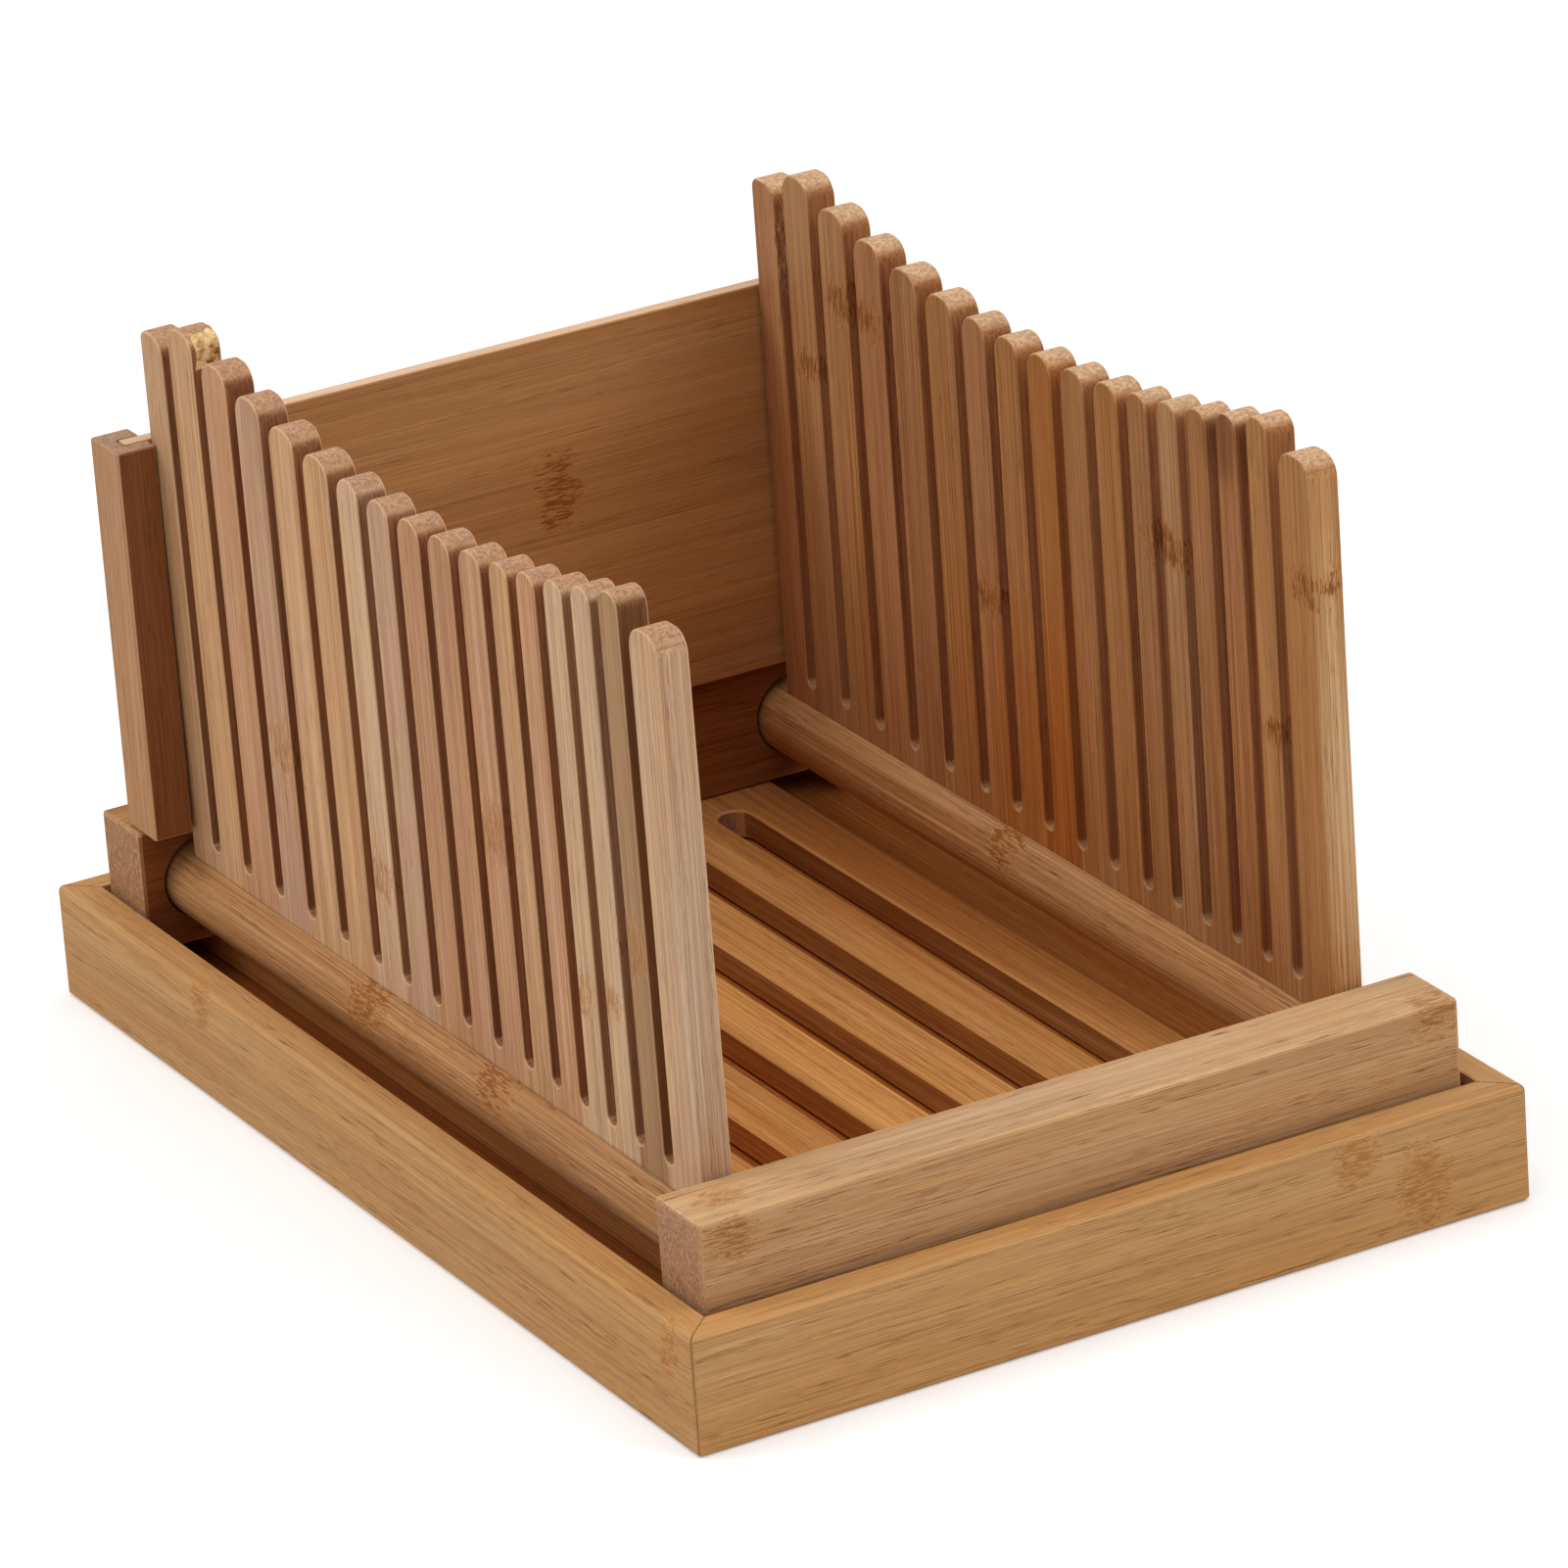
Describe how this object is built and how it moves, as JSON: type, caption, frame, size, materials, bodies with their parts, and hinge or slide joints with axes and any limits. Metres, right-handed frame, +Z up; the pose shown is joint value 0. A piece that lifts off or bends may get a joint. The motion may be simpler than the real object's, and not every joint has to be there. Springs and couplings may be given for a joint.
{
  "type": "bread slicing guide",
  "caption": "Foldable bamboo bread slicing guide: two slotted combs hinged on rods over a slotted deck, with a back board, lying loose in a crumb tray.",
  "frame": {"origin": "middle of the crumb tray's underside, on the table", "axes": "+X to the right comb, +Y from the front rail to the back board, +Z up"},
  "size_m": [0.2316, 0.34, 0.1955],
  "materials": {
    "bamboo_tray": "satin, clear oiled",
    "bamboo_floor": "satin, clear oiled",
    "bamboo_deck": "satin, clear oiled",
    "bamboo_rail": "satin, clear oiled",
    "bamboo_rod": "satin, clear oiled",
    "bamboo_comb": "satin, clear oiled",
    "bamboo_board": "satin, clear oiled",
    "dowel_wood": "matt",
    "zinc_screw": "zinc plated"
  },
  "bodies": {
    "tray": {"tray_front_wall": "bamboo_tray", "tray_right_wall": "bamboo_tray", "tray_rear_wall": "bamboo_tray", "tray_left_wall": "bamboo_tray", "tray_floor": "bamboo_floor"},
    "base": {"deck_board": "bamboo_deck", "front_rail": "bamboo_rail", "rear_rail": "bamboo_rail", "rail_screw_front_left": "zinc_screw", "rail_screw_front_middle": "zinc_screw", "rail_screw_front_right": "zinc_screw", "rail_screw_rear_left": "zinc_screw", "rail_screw_rear_middle": "zinc_screw", "rail_screw_rear_right": "zinc_screw"},
    "left_comb_body": {"left_rod": "bamboo_rod", "left_comb": "bamboo_comb"},
    "right_comb_body": {"right_rod": "bamboo_rod", "right_comb": "bamboo_comb"},
    "back_frame": {"left_end_bar": "bamboo_board", "right_end_bar": "bamboo_board", "back_board": "bamboo_board", "left_frame_dowel": "dowel_wood", "right_frame_dowel": "dowel_wood"}
  },
  "joints": [
    {"name": "tray_lift_out", "type": "slide", "parent": "tray", "child": "base", "axis": [0, 0, 1], "range_m": [0, 0.06]},
    {"name": "left_comb_fold", "type": "hinge", "parent": "base", "child": "left_comb_body", "pos_m": [-0.0883, 0, 0.03615], "axis": [0, 1, 0], "range_deg": [0, 94.6]},
    {"name": "right_comb_fold", "type": "hinge", "parent": "base", "child": "right_comb_body", "pos_m": [0.0869, 0, 0.03615], "axis": [0, -1, 0], "range_deg": [0, 87.2]},
    {"name": "frame_lift_off", "type": "slide", "parent": "base", "child": "back_frame", "axis": [0, 0, 1], "range_m": [0, 0.05]}
  ]
}
